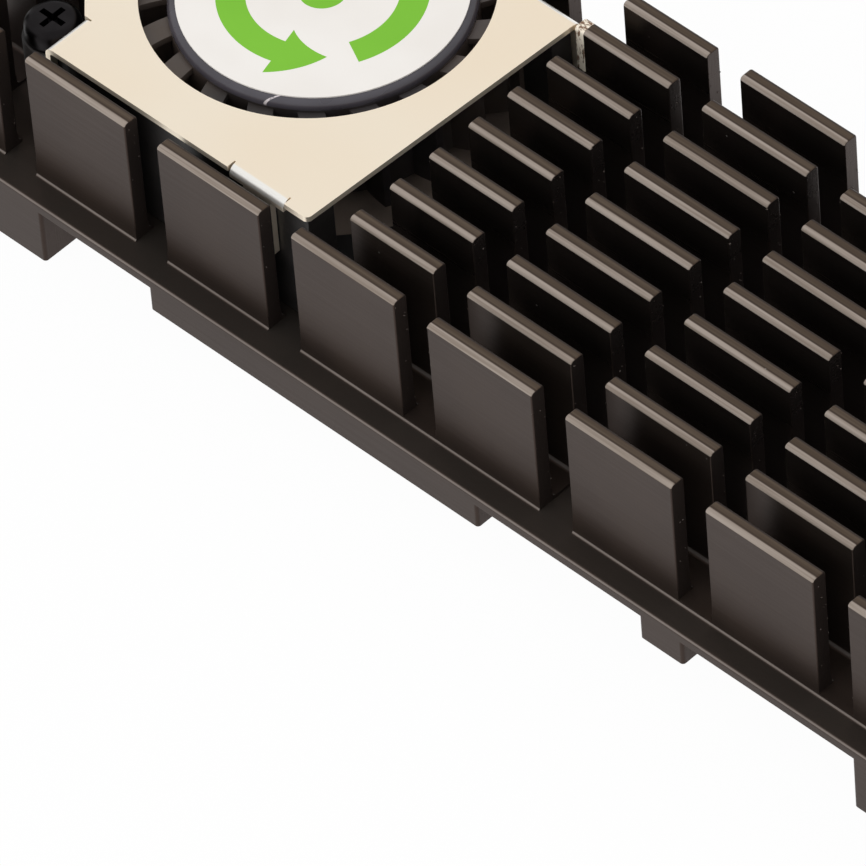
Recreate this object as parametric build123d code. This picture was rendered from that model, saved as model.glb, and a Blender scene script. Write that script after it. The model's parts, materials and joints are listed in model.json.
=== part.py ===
from build123d import *
import os
from math import cos, radians, sin, tan

# Finned heat sink with a flat blower let into it. Millimetres, +Z up, +X along the fins.
# The origin is under the middle of the base, at the level of the feet.

# Fins: rows run along X, and cross-cuts divide each row into columns
COLUMNS = 9
COLUMN_PITCH = 14.2
FIN_LENGTH = 10.8
ROW_PITCH = 4.26
FIN_THICKNESS = 1.4
FIN_HEIGHT = 12.6
FIN_TIP_RADIUS = 0.35
FIN_ROOT_RADIUS = 0.4
LEDGE_ROOT_RADIUS = 0.25
LEDGE_EDGE_RADIUS = 0.25
SHALLOW_CUTS = (3, 5, 6)

# Base: the ledges run along both long edges, a little below the channel floors,
# and the width between them is filled with rows
BASE_WIDTH = 40.0
LEAST_LEDGE = 2.0
BASE_THICKNESS = 3.3
CHANNEL_RISE = 0.3
EDGE_THICKNESS = 0.9
EDGE_WIDTH = 3.0
EDGE_CORNER = 0.3
FOOT_HEIGHT = 2.9
LEFT_FOOT_LENGTH = 16.7
RIGHT_FOOT_LENGTH = 23.1
WIDE_PAD_START = 28.4
WIDE_PAD_LENGTH = 34.7
NARROW_PAD_START = 79.8
NARROW_PAD_LENGTH = 4.4

# Tapped holes under the feet, M2.5
MOUNT_HOLE_RADIUS = 1.025
MOUNT_HOLE_DEPTH = 4.5
MOUNT_SPACING_X = 115.0
MOUNT_SPACING_Y = 31.0

# Pocket milled into the fins for the blower, open at the back
FAN_FROM_LEFT = 25.5
FAN_FRONT_GAP = 0.29
POCKET_SIDE_GAP = 1.65
POCKET_ROOT_LEFT = 0.4
SLOT_WIDTH = 6.0
STUB_LENGTH = 2.9
STUB_MARGIN = 0.2
COVER_CORNER_GAP = 0.17

# Blower: its heights are measured from the pocket floor that it stands on
FAN_SIDE = 35.0
FAN_HEIGHT = 12.5
NOTCH_WIDTH = 6.35
NOTCH_JOG = 4.3
OUTLET_SLANT = 2.2
ROTOR_SHIFT_X = 0.7
ROTOR_SHIFT_Y = 0.7

# Sheet cover with folded legs
COVER_THICKNESS = 0.5
COVER_CORNER = 0.5
BEND_RADIUS = 0.3
BEND_SLIT = 0.15
INLET_RADIUS = 13.8
INLET_SHIFT_X = 0.4
INLET_SHIFT_Y = 0.5
LEG_DROP = 6.5
SHOULDER_DROP = 1.0
EDGE_LEG_WIDTH = 5.7
EDGE_LEG_FOOT = 2.9
EDGE_LEG_PLACE = 11.4
LEG_GAP = 0.1
WINDOW_WIDTH = 1.8
WINDOW_HEIGHT = 1.2
WINDOW_DROP = 3.6
CATCH_GAP = 0.15
CATCH_DEPTH = 0.4
CATCH_ROOT = 0.5

# Moulded frame
FLOOR_THICKNESS = 1.4
THIN_WALL = 0.7
TOP_CHAMFER = 0.25
OUTLET_SIDE = 8.5
POST_PLACE = 14.0
POST_RADIUS = 2.5
POST_HEIGHT = 9.4
EAR_X = 15.4
EAR_Y = 13.4
EAR_RADIUS = 2.4
EAR_HEIGHT = 3.0
WEB_WIDTH = 3.0
WEB_DROP = 1.0
LEAD_NOTCH_PLACE = 2.5
LEAD_NOTCH_WIDTH = 3.0
LEAD_NOTCH_HEIGHT = 1.6

# Screws, M2.5
SCREW_RADIUS = 1.2
SCREW_HOLE_GAP = 0.15
THREAD_GAP = 0.02
SCREW_END_GAP = 0.3
LONG_SCREW_LENGTH = 12.0
SHORT_SCREW_LENGTH = 5.0
HEAD_RADIUS = 2.3
HEAD_HEIGHT = 1.7
HEAD_EDGE = 0.8
RECESS_LENGTH = 2.4
RECESS_WIDTH = 0.5
RECESS_DEPTH = 0.9

# Impeller
HUB_RADIUS = 12.0
HUB_DROP = 0.3
HUB_RIM_RADIUS = 0.6
HUB_WALL = 0.9
HUB_TOP = 1.0
HUB_FLOOR_GAP = 1.0
BOSS_RADIUS = 2.5
BOSS_HEIGHT = 2.27
BOSS_GAP = 0.5
BLADES = 19
BLADE_THICKNESS = 0.55
BLADE_ROOT = 0.4
BLADE_PHASE = 6.0
BLADE_SWEEP = 5.0
BLADE_BOW = 0.12
BLADE_SIDE_GAP = 0.7
BLADE_TOP_GAP = 0.7
STRIP_WIDTH = 2.0
STRIP_THICKNESS = 0.6
LABEL_MARGIN = 0.05
LABEL_THICKNESS = 0.12

# Rotor inside the hub
GLUE_GAP = 0.05
YOKE_THICKNESS = 0.6
YOKE_LIFT = 0.8
MAGNET_THICKNESS = 1.25
MAGNET_OVERHANG = 1.0
SHAFT_RADIUS = 1.0
SHAFT_TIP_RADIUS = 0.4
SHAFT_IN_HUB = 2.6
GROOVE_DEPTH = 0.25
CLIP_RADIUS = 1.9
CLIP_THICKNESS = 0.25
CLIP_GAP = 0.05
CLIP_SLIT = 0.9

# Bearing tube and what it holds
BEARING_RADIUS = 2.5
BEARING_PLAY = 0.03
TUBE_WALL = 0.7
TUBE_LIP = 0.2
FIT_GAP = 0.03
CAP_THICKNESS = 0.9
THRUST_THICKNESS = 0.2
THRUST_PLAY = 0.06
CLIP_SPACE = 0.75
SEAL_THICKNESS = 0.4
SEAL_PLAY = 0.15

# Stator
SHOULDER_WIDTH = 1.2
SHOULDER_HEIGHT = 0.5
BOARD_RADIUS = 9.4
BOARD_THICKNESS = 0.8
AIR_GAP = 0.3
POLES = 4
CORE_RING = 1.3
STATOR_TOP_GAP = 0.95
ARM_WIDTH = 2.0
SHOE_THICKNESS = 1.1
SHOE_GAP_ANGLE = 18.0
STANDOFF_HEIGHT = 1.2
INSULATOR_THICKNESS = 0.5
INSULATOR_SIDE = 0.3
INSULATOR_LIP = 0.6
LIP_DROP = 0.5
COIL_THICKNESS = 1.1
COIL_END_GAP = 0.1
COIL_CORNER = 0.5

# Board parts
PARTS_CIRCLE = 6.6
CHIP_LENGTH = 2.6
CHIP_WIDTH = 1.8
CHIP_HEIGHT = 0.9
CAPACITOR_LENGTH = 1.6
CAPACITOR_WIDTH = 0.8
CAPACITOR_HEIGHT = 0.7

# Levels of the heat sink; PAST is how far a cut runs on beyond what it cuts
PAST = 5.0
length = (COLUMNS - 1) * COLUMN_PITCH + FIN_LENGTH
left = -length / 2
rows = int((BASE_WIDTH - 2 * LEAST_LEDGE - FIN_THICKNESS) / ROW_PITCH) + 1
last_row = (rows - 1) * ROW_PITCH / 2
rows_half = last_row + FIN_THICKNESS / 2
pad_z = FOOT_HEIGHT
ledge_z = pad_z + BASE_THICKNESS
edge_z = ledge_z - EDGE_THICKNESS
channel_z = ledge_z + CHANNEL_RISE
tip_z = ledge_z + FIN_HEIGHT
pocket_front = FIN_THICKNESS / 2 + POCKET_ROOT_LEFT - last_row

# Sizes of the blower
fan_half = FAN_SIDE / 2
notch_start = fan_half - NOTCH_WIDTH
outlet_slope = tan(radians(OUTLET_SLANT))
outlet_corner = fan_half + notch_start * outlet_slope
cover_z = FAN_HEIGHT - COVER_THICKNESS
catch_z = FAN_HEIGHT - WINDOW_DROP
frame_inset = COVER_THICKNESS + LEG_GAP
frame_slope = (FAN_SIDE - NOTCH_WIDTH - NOTCH_JOG) / 2 ** 0.5 - frame_inset
rotor_to_slope = frame_slope - (ROTOR_SHIFT_X + ROTOR_SHIFT_Y) / 2 ** 0.5
cavity_radius = rotor_to_slope - THIN_WALL
blade_radius = cavity_radius - BLADE_SIDE_GAP
hub_top = FAN_HEIGHT - HUB_DROP
hub_bottom = FLOOR_THICKNESS + HUB_FLOOR_GAP
hub_inside = hub_top - HUB_TOP
yoke_top = hub_inside - GLUE_GAP
boss_bottom = hub_inside - BOSS_HEIGHT

# Stack in the bearing tube; the bearing fills what the hub leaves free
tube_radius = BEARING_RADIUS + TUBE_WALL
thrust_top = CAP_THICKNESS + THRUST_THICKNESS
shaft_bottom = thrust_top + THRUST_PLAY
bearing_bottom = shaft_bottom + CLIP_SPACE
tube_top = boss_bottom - BOSS_GAP
seal_top = tube_top - TUBE_LIP
bearing_top = seal_top - SEAL_THICKNESS
shaft_top = boss_bottom + SHAFT_IN_HUB
groove_top = bearing_bottom - CLIP_GAP
clip_top = groove_top - CLIP_GAP
clip_bottom = clip_top - CLIP_THICKNESS
groove_bottom = clip_bottom - CLIP_GAP

# Stack around the bearing tube; the core fills what the coils and the hub leave free
board_bottom = FLOOR_THICKNESS + SHOULDER_HEIGHT
board_top = board_bottom + BOARD_THICKNESS
core_bottom = board_top + STANDOFF_HEIGHT + INSULATOR_THICKNESS
coil_top = yoke_top - YOKE_THICKNESS - STATOR_TOP_GAP
core_top = coil_top - COIL_THICKNESS - INSULATOR_THICKNESS
core_middle = (core_bottom + core_top) / 2
core_bore = tube_radius + FIT_GAP
core_ring_radius = core_bore + CORE_RING
yoke_radius = HUB_RADIUS - HUB_WALL - GLUE_GAP
magnet_radius = yoke_radius - YOKE_THICKNESS - GLUE_GAP
magnet_bore = magnet_radius - MAGNET_THICKNESS
core_radius = magnet_bore - AIR_GAP
shoe_bore = core_radius - SHOE_THICKNESS
insulated_arm = ARM_WIDTH + 2 * INSULATOR_SIDE

FAN = Pos(left + FAN_FROM_LEFT, pocket_front + FAN_FRONT_GAP + fan_half, ledge_z)
ROTOR = FAN * Pos(ROTOR_SHIFT_X, ROTOR_SHIFT_Y, 0)
POST = FAN * Pos(-POST_PLACE, -POST_PLACE, 0)
EAR = FAN * Pos(EAR_X, EAR_Y, 0)


def raised(sketch, low, high):
    """A sketch drawn on the XY plane, as a solid between two levels."""
    return extrude(Pos(0, 0, low) * sketch, high - low)


def span(x_start, x_end, y_start, y_end):
    """A rectangle given by its sides."""
    middle = Pos((x_start + x_end) / 2, (y_start + y_end) / 2)
    return middle * Rectangle(abs(x_end - x_start), abs(y_end - y_start))


def around(count, shape):
    """Copies of a shape at even steps around the Z axis."""
    return [Rot(0, 0, 360 * i / count) * shape for i in range(count)]


def fin_section():
    """Section of the extrusion across its length, with round tips, roots and outer edges."""
    half = BASE_WIDTH / 2
    section = span(-half, half, edge_z, ledge_z)
    section = fillet(section.vertices().group_by(Axis.Y)[-1], LEDGE_EDGE_RADIUS)
    section += span(-rows_half, rows_half, edge_z, channel_z)
    fin = span(-FIN_THICKNESS / 2, FIN_THICKNESS / 2, ledge_z, tip_z)
    fin = fillet(fin.vertices().group_by(Axis.Y)[-1], FIN_TIP_RADIUS)
    section += [Pos(row * ROW_PITCH - last_row, 0) * fin for row in range(rows)]
    at_channel = [v for v in section.vertices() if abs(v.Y - channel_z) < 0.01]
    section = fillet([v for v in at_channel if abs(v.X) < last_row], FIN_ROOT_RADIUS)
    at_ledge = [v for v in section.vertices() if abs(v.Y - ledge_z) < 0.01]
    return fillet([v for v in at_ledge if abs(v.X) < rows_half + 0.01], LEDGE_ROOT_RADIUS)


def cross_cuts():
    """Saw cuts across the fins; some stop at the channel floors, the others reach the ledges."""
    cuts = []
    for gap in range(COLUMNS - 1):
        start = left + gap * COLUMN_PITCH + FIN_LENGTH
        floor = channel_z if gap in SHALLOW_CUTS else ledge_z
        slot = span(start, start + COLUMN_PITCH - FIN_LENGTH, -BASE_WIDTH, BASE_WIDTH)
        cuts.append(raised(slot, floor, tip_z + PAST))
    return cuts


def fan_pocket():
    """Room for the blower behind the front row.

    A stub of the back row stays beside a slot, and the row before it reaches in to the cover's
    corner.
    """
    middle = left + FAN_FROM_LEFT
    reach = fan_half + POCKET_SIDE_GAP
    stub_end = middle + reach - SLOT_WIDTH
    stub_front = rows_half - FIN_THICKNESS - STUB_MARGIN
    pocket = span(middle - reach, middle + reach, pocket_front, BASE_WIDTH)
    pocket -= span(stub_end - STUB_LENGTH, stub_end, stub_front, BASE_WIDTH)
    spur_start = middle + outlet_corner + COVER_CORNER_GAP
    spur_front = stub_front - ROW_PITCH
    spur_back = spur_front + FIN_THICKNESS + 2 * STUB_MARGIN
    pocket -= span(spur_start, middle + reach, spur_front, spur_back)
    return raised(pocket, ledge_z, tip_z + PAST)


def underside(feet_only):
    """Plan of the thick parts of the base: the feet, and between them the middle and two pads."""
    half = BASE_WIDTH / 2
    plan = span(left, left + LEFT_FOOT_LENGTH, -half, half)
    plan += span(-left - RIGHT_FOOT_LENGTH, -left, -half, half)
    if not feet_only:
        plan += span(left, -left, EDGE_WIDTH - half, half - EDGE_WIDTH)
        wide = left + WIDE_PAD_START
        narrow = left + NARROW_PAD_START
        plan += span(wide, wide + WIDE_PAD_LENGTH, -half, 0)
        plan += span(narrow, narrow + NARROW_PAD_LENGTH, -half, 0)
    corners = [v for v in plan.vertices() if abs(v.X) < length / 2 - 0.01]
    return fillet(corners, EDGE_CORNER)


def make_heat_sink():
    """One extrusion, sawn across, milled for the blower and relieved underneath."""
    body = extrude(Pos(left, 0, 0) * (Plane.YZ * fin_section()), length)
    body -= cross_cuts()
    body -= fan_pocket()
    body += raised(underside(False), pad_z, edge_z)
    body += raised(underside(True), 0, pad_z)
    tapped = raised(Circle(MOUNT_HOLE_RADIUS), -PAST, MOUNT_HOLE_DEPTH)
    body -= [place * tapped for place in GridLocations(MOUNT_SPACING_X, MOUNT_SPACING_Y, 2, 2)]
    thread = Circle(SCREW_RADIUS + THREAD_GAP)
    body -= POST * raised(thread, POST_HEIGHT - LONG_SCREW_LENGTH - SCREW_END_GAP, PAST)
    body -= EAR * raised(thread, EAR_HEIGHT - SHORT_SCREW_LENGTH - SCREW_END_GAP, PAST)
    return body


def fan_outline(inset):
    """The blower's square, drawn a little inside its edge.

    Two opposite corners are cut back, and the side of the outlet is a little slanted.
    """
    side = fan_half - inset
    notch = notch_start - inset
    step = fan_half - NOTCH_JOG - inset * (2 ** 0.5 - 1)
    slope = step - NOTCH_WIDTH
    points = [(-notch, -side), (side - side * outlet_slope, -side)]
    points += [(side + notch * outlet_slope, notch), (step, notch)]
    points += [(slope, side), (-side, side), (-side, -slope), (-notch, -step)]
    return make_face(Polyline(*points, close=True))


def leg_places():
    """The four folded legs: middle of the bend, facing out along -Y, and widths at bend and foot.

    The legs of the cut corners run out to the corner's tip.
    """
    inner_end = fan_half - NOTCH_JOG + BEND_SLIT
    inlet_jog = fan_half - inner_end
    outlet_jog = outlet_corner - inner_end
    return [
        (Pos(EDGE_LEG_PLACE, -fan_half, 0), EDGE_LEG_WIDTH, EDGE_LEG_FOOT),
        (Pos(-EDGE_LEG_PLACE, fan_half, 0) * Rot(0, 0, 180), EDGE_LEG_WIDTH, EDGE_LEG_FOOT),
        (Pos(-notch_start, -inner_end - inlet_jog / 2, 0) * Rot(0, 0, -90), inlet_jog, inlet_jog),
        (Pos(inner_end + outlet_jog / 2, notch_start, 0) * Rot(0, 0, 180), outlet_jog, outlet_jog),
    ]


def folded_leg(width, foot):
    """A leg folded down from the sheet, with a window for the catch on the frame.

    Where the foot is narrower than the bend, the leg steps in on both sides.
    """
    bend = COVER_THICKNESS + BEND_RADIUS
    section = span(0, COVER_THICKNESS, FAN_HEIGHT - LEG_DROP, FAN_HEIGHT)
    section += span(0, bend, cover_z, FAN_HEIGHT)
    outside = section.vertices().group_by(Axis.Y)[-1].sort_by(Axis.X)[0]
    section = fillet(outside, bend)
    at_sheet = [v for v in section.vertices() if abs(v.Y - cover_z) < 0.01]
    section = fillet([v for v in at_sheet if v.X < bend - 0.01], BEND_RADIUS)
    leg = extrude(Pos(-width / 2, 0, 0) * (Plane.YZ * section), width)
    if foot < width:
        outside = span(-width, width, -PAST, PAST) - span(-foot / 2, foot / 2, -PAST, PAST)
        leg -= raised(outside, 0, FAN_HEIGHT - SHOULDER_DROP)
    window = span(-WINDOW_WIDTH / 2, WINDOW_WIDTH / 2, -PAST, PAST)
    return leg - raised(window, catch_z - WINDOW_HEIGHT / 2, catch_z + WINDOW_HEIGHT / 2)


def make_cover():
    """Pressed sheet with the round inlet and four legs folded down at its edge."""
    sheet = fan_outline(0)
    corners = [v for v in sheet.vertices() if v.X * v.Y < 0]
    sheet = fillet(corners, COVER_CORNER)
    sheet -= Pos(INLET_SHIFT_X, INLET_SHIFT_Y) * Circle(INLET_RADIUS)
    for place, width, _ in leg_places():
        reach = width / 2 + BEND_SLIT
        sheet -= place * span(-reach, reach, -PAST, COVER_THICKNESS + BEND_RADIUS)
    cover = raised(sheet, cover_z, FAN_HEIGHT)
    cover += [place * folded_leg(width, foot) for place, width, foot in leg_places()]
    return FAN * cover


def catches():
    """Sloped catches on the frame that snap into the windows of the legs."""
    low = catch_z - WINDOW_HEIGHT / 2 + CATCH_GAP
    high = catch_z + WINDOW_HEIGHT / 2 - CATCH_GAP
    root = frame_inset + CATCH_ROOT
    nose = (frame_inset - CATCH_DEPTH, low)
    wedge = make_face(Polyline((root, low), nose, (frame_inset, high), (root, high), close=True))
    width = WINDOW_WIDTH - 2 * CATCH_GAP
    catch = extrude(Pos(-width / 2, 0, 0) * (Plane.YZ * wedge), width)
    return [place * catch for place, _, _ in leg_places()]


def screw_lug(radius, height, inward, to_middle):
    """A round lug outside the frame's cut corner, with a web that runs into the wall."""
    reach = to_middle - frame_slope + THIN_WALL / 2
    web = Rot(0, 0, inward) * span(0, reach, -WEB_WIDTH / 2, WEB_WIDTH / 2)
    return raised(Circle(radius), 0, height) + raised(web, 0, height - WEB_DROP)


def make_frame():
    """Moulded housing: floor, round cavity with a side outlet, bearing tube and two screw lugs."""
    frame = raised(fan_outline(frame_inset), 0, cover_z)
    frame = chamfer(frame.faces().sort_by(Axis.Z)[-1].edges(), TOP_CHAMFER)
    frame += catches()
    shift = Pos(ROTOR_SHIFT_X, ROTOR_SHIFT_Y)
    room = shift * Circle(cavity_radius)
    room += span(ROTOR_SHIFT_X, fan_half + PAST, ROTOR_SHIFT_Y - cavity_radius, OUTLET_SIDE)
    frame -= raised(room, FLOOR_THICKNESS, FAN_HEIGHT)
    side = LEAD_NOTCH_PLACE + LEAD_NOTCH_WIDTH / 2
    lead = span(side - LEAD_NOTCH_WIDTH, side, fan_half - NOTCH_JOG, fan_half + PAST)
    frame -= raised(lead, FLOOR_THICKNESS, FLOOR_THICKNESS + LEAD_NOTCH_HEIGHT)
    frame += shift * raised(Circle(tube_radius + SHOULDER_WIDTH), 0, board_bottom)
    frame += shift * raised(Circle(tube_radius), 0, tube_top)
    frame -= shift * raised(Circle(BEARING_RADIUS + FIT_GAP), -PAST, FAN_HEIGHT)
    frame = FAN * frame
    frame += POST * screw_lug(POST_RADIUS, POST_HEIGHT, 45, POST_PLACE * 2 ** 0.5)
    frame += EAR * screw_lug(EAR_RADIUS, EAR_HEIGHT, 225, (EAR_X + EAR_Y) / 2 ** 0.5)
    hole = raised(Circle(SCREW_RADIUS + SCREW_HOLE_GAP), -PAST, FAN_HEIGHT)
    return frame - [POST * hole, EAR * hole]


def make_screw(size):
    """Round-headed screw with a cross recess; the head rests at the origin."""
    head = raised(Circle(HEAD_RADIUS), 0, HEAD_HEIGHT)
    head = fillet(head.edges().group_by(Axis.Z)[-1], HEAD_EDGE)
    slot = Rectangle(RECESS_LENGTH, RECESS_WIDTH) + Rectangle(RECESS_WIDTH, RECESS_LENGTH)
    head -= raised(slot, HEAD_HEIGHT - RECESS_DEPTH, HEAD_HEIGHT + PAST)
    return head + raised(Circle(SCREW_RADIUS), -size, 0)


def blade_plan(thickness):
    """One impeller blade from inside the hub wall to its tip, swept and a little bowed."""
    root = HUB_RADIUS - BLADE_ROOT
    turn = radians(BLADE_SWEEP)
    tip = ((blade_radius + BLADE_ROOT) * cos(turn), (blade_radius + BLADE_ROOT) * sin(turn))
    middle = ((root + tip[0]) / 2, tip[1] / 2 - BLADE_BOW)
    blade = trace(ThreePointArc((root, 0), middle, tip), thickness)
    return blade - (Circle(blade_radius + PAST) - Circle(blade_radius))


def make_impeller():
    """Closed hub with a rounded rim and a boss for the shaft.

    The blades around its wall each carry a flat strip along the top.
    """
    hub = raised(Circle(HUB_RADIUS), hub_bottom, hub_top)
    hub = fillet(hub.edges().group_by(Axis.Z)[-1], HUB_RIM_RADIUS)
    blade_top = cover_z - BLADE_TOP_GAP
    blade = raised(blade_plan(BLADE_THICKNESS), hub_bottom, blade_top)
    blade += raised(blade_plan(STRIP_WIDTH), blade_top - STRIP_THICKNESS, blade_top)
    hub += around(BLADES, Rot(0, 0, BLADE_PHASE) * blade)
    hub -= raised(Circle(HUB_RADIUS - HUB_WALL), hub_bottom - PAST, hub_inside)
    hub += raised(Circle(BOSS_RADIUS), boss_bottom, hub_inside)
    return ROTOR * (hub - raised(Circle(SHAFT_RADIUS), 0, shaft_top))


def make_label():
    """Thin round disc on top of the hub."""
    edge = HUB_RADIUS - HUB_RIM_RADIUS - LABEL_MARGIN
    return ROTOR * raised(Circle(edge), hub_top, hub_top + LABEL_THICKNESS)


def make_yoke():
    """Drawn steel cup inside the hub."""
    cup = raised(Circle(yoke_radius), hub_bottom + YOKE_LIFT, yoke_top)
    cup -= raised(Circle(yoke_radius - YOKE_THICKNESS), 0, yoke_top - YOKE_THICKNESS)
    return ROTOR * (cup - raised(Circle(BOSS_RADIUS + GLUE_GAP), 0, yoke_top + PAST))


def make_magnet():
    """Ring magnet level with the stator core."""
    ring = Circle(magnet_radius) - Circle(magnet_bore)
    return ROTOR * raised(ring, core_bottom - MAGNET_OVERHANG, core_top + MAGNET_OVERHANG)


def make_shaft():
    """Steel shaft with a rounded tip and a groove for the clip."""
    shaft = raised(Circle(SHAFT_RADIUS), shaft_bottom, shaft_top)
    shaft = fillet(shaft.edges().group_by(Axis.Z)[0], SHAFT_TIP_RADIUS)
    groove = Circle(SHAFT_RADIUS + PAST) - Circle(SHAFT_RADIUS - GROOVE_DEPTH)
    return ROTOR * (shaft - raised(groove, groove_bottom, groove_top))


def make_clip():
    """Slit washer in the groove of the shaft."""
    washer = Circle(CLIP_RADIUS) - Circle(SHAFT_RADIUS - GROOVE_DEPTH)
    washer -= span(0, CLIP_RADIUS + PAST, -CLIP_SLIT / 2, CLIP_SLIT / 2)
    return ROTOR * raised(washer, clip_bottom, clip_top)


def tube_disc(low, high):
    """A disc across the bearing tube."""
    return ROTOR * raised(Circle(BEARING_RADIUS), low, high)


def tube_ring(play, low, high):
    """A ring in the bearing tube, with some play around the shaft."""
    return ROTOR * raised(Circle(BEARING_RADIUS) - Circle(SHAFT_RADIUS + play), low, high)


def pole_plan(arm_width):
    """Ring, arms and curved shoes of the stator."""
    gap_half = radians(SHOE_GAP_ANGLE / 2)
    reach = core_radius + PAST
    gap = make_face(Polyline((0, 0), (reach * cos(gap_half), -reach * sin(gap_half)),
                             (reach * cos(gap_half), reach * sin(gap_half)), close=True))
    plan = Circle(core_radius) - Circle(shoe_bore)
    plan -= around(POLES, Rot(0, 0, 180 / POLES) * gap)
    plan += around(POLES, span(0, shoe_bore + SHOE_THICKNESS / 2, -arm_width / 2, arm_width / 2))
    plan += Circle(core_ring_radius)
    return plan - Circle(core_bore)


def make_core():
    """Stack of steel laminations."""
    return ROTOR * raised(pole_plan(ARM_WIDTH), core_bottom, core_top)


def insulator(plate, sides, lips):
    """Plastic cover over one end of the core: plate, half of the arms' sides, and outer lips."""
    wide = pole_plan(insulated_arm)
    edge = wide - Circle(core_radius - INSULATOR_LIP)
    return raised(wide, *plate) + raised(wide - pole_plan(ARM_WIDTH), *sides) + raised(edge, *lips)


def make_upper_insulator():
    """The cover that keeps the coils off the top of the core."""
    plate_top = core_top + INSULATOR_THICKNESS
    return ROTOR * insulator((core_top, plate_top), (core_middle, core_top), (core_top, coil_top))


def make_lower_insulator():
    """The cover under the core; its collar stands on the board and carries the stator."""
    low = core_bottom - INSULATOR_THICKNESS
    cover = insulator((low, core_bottom), (core_bottom, core_middle), (low - LIP_DROP, core_bottom))
    cover += raised(Circle(core_ring_radius) - Circle(core_bore), board_top, low)
    return ROTOR * cover


def make_coil(pole):
    """Winding around one arm, drawn as one rounded loop."""
    hole = Rectangle(insulated_arm, core_top - core_bottom + 2 * INSULATOR_THICKNESS)
    loop = offset(hole, COIL_THICKNESS, kind=Kind.INTERSECTION)
    loop = fillet(loop.vertices(), COIL_CORNER) - hole
    start = core_ring_radius + COIL_END_GAP
    coil = extrude(Pos(start, 0, core_middle) * (Plane.YZ * loop), shoe_bore - start)
    coil &= raised(Circle(shoe_bore - COIL_END_GAP), 0, FAN_HEIGHT)
    return ROTOR * Rot(0, 0, 360 * pole / POLES) * coil


def make_board():
    """Ring-shaped circuit board on the shoulder of the tube."""
    return ROTOR * raised(Circle(BOARD_RADIUS) - Circle(core_bore), board_bottom, board_top)


def board_part(size_x, size_y, height, angle):
    """A part soldered on the board between two coils."""
    part = raised(Rectangle(size_y, size_x), board_top, board_top + height)
    return ROTOR * Rot(0, 0, angle) * Pos(PARTS_CIRCLE, 0, 0) * part


between = 180 / POLES
nodes = {
    "heat_sink": make_heat_sink(),
    "fan_cover": make_cover(),
    "fan_frame": make_frame(),
    "long_fan_screw": POST * Pos(0, 0, POST_HEIGHT) * make_screw(LONG_SCREW_LENGTH),
    "short_fan_screw": EAR * Pos(0, 0, EAR_HEIGHT) * make_screw(SHORT_SCREW_LENGTH),
    "impeller": make_impeller(),
    "hub_label": make_label(),
    "rotor_yoke": make_yoke(),
    "rotor_magnet": make_magnet(),
    "rotor_shaft": make_shaft(),
    "retaining_clip": make_clip(),
    "bearing_cap": tube_disc(0, CAP_THICKNESS),
    "thrust_washer": tube_disc(CAP_THICKNESS, thrust_top),
    "bearing_sleeve": tube_ring(BEARING_PLAY, bearing_bottom, bearing_top),
    "oil_seal": tube_ring(SEAL_PLAY, bearing_top, seal_top),
    "stator_core": make_core(),
    "upper_insulator": make_upper_insulator(),
    "lower_insulator": make_lower_insulator(),
    "fan_board": make_board(),
    "drive_chip": board_part(CHIP_LENGTH, CHIP_WIDTH, CHIP_HEIGHT, between),
    "filter_capacitor": board_part(CAPACITOR_LENGTH, CAPACITOR_WIDTH, CAPACITOR_HEIGHT, 180 + between),
}
for pole in range(POLES):
    nodes[f"coil_{pole + 1}"] = make_coil(pole)

os.makedirs("parts", exist_ok=True)
for name, shape in nodes.items():
    export_step(shape, f"parts/{name}.step")
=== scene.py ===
import bmesh
import bpy
import json
from math import cos, pi, radians, sin, tau
from mathutils import Matrix, Vector


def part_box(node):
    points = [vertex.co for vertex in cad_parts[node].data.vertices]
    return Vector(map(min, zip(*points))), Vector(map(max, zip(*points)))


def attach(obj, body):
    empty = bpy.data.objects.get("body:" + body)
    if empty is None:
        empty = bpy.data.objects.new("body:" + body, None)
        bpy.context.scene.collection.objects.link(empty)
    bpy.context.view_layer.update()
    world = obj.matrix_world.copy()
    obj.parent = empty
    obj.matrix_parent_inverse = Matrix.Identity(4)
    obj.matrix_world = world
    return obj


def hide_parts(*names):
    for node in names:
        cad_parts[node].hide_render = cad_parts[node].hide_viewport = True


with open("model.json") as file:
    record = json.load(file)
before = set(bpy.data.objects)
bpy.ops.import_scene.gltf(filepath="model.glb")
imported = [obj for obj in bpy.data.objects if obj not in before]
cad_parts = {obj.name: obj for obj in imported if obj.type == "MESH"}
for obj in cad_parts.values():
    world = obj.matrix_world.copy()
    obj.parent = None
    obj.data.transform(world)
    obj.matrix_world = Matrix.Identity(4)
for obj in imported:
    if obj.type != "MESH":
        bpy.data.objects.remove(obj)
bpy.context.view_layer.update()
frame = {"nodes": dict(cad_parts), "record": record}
MM = 0.001
WELD = 0.0005 * MM
CORNER_ANGLE = 35

# The field of fins, in metres, the same as the solid's
PITCH_X = 14.2 * MM
PITCH_Y = 4.26 * MM
FIRST_X = -62.2 * MM
FIRST_Y = -17.74 * MM
FIN_LENGTH = 10.8 * MM
FIN_THICKNESS = 1.4 * MM
FIN_TOP = 18.8 * MM
FIN_CUT = 7.4 * MM
TIP_RADIUS = 0.35 * MM
SAWN_CORNER = 0.14 * MM
LEDGE = 6.2 * MM
CHANNEL = 6.5 * MM

# Where the pocket for the blower cuts the fins: a spur and a stub are left beside it
POCKET_LEFT = -55.85 * MM
POCKET_RIGHT = -17.55 * MM
SPUR = 1.05 * MM
SPUR_ROW = 7
SPUR_MIDDLE = FIRST_Y + SPUR_ROW * PITCH_Y + FIN_THICKNESS / 2
STUB_START = -26.45 * MM
STUB_LENGTH = 2.9 * MM

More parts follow.
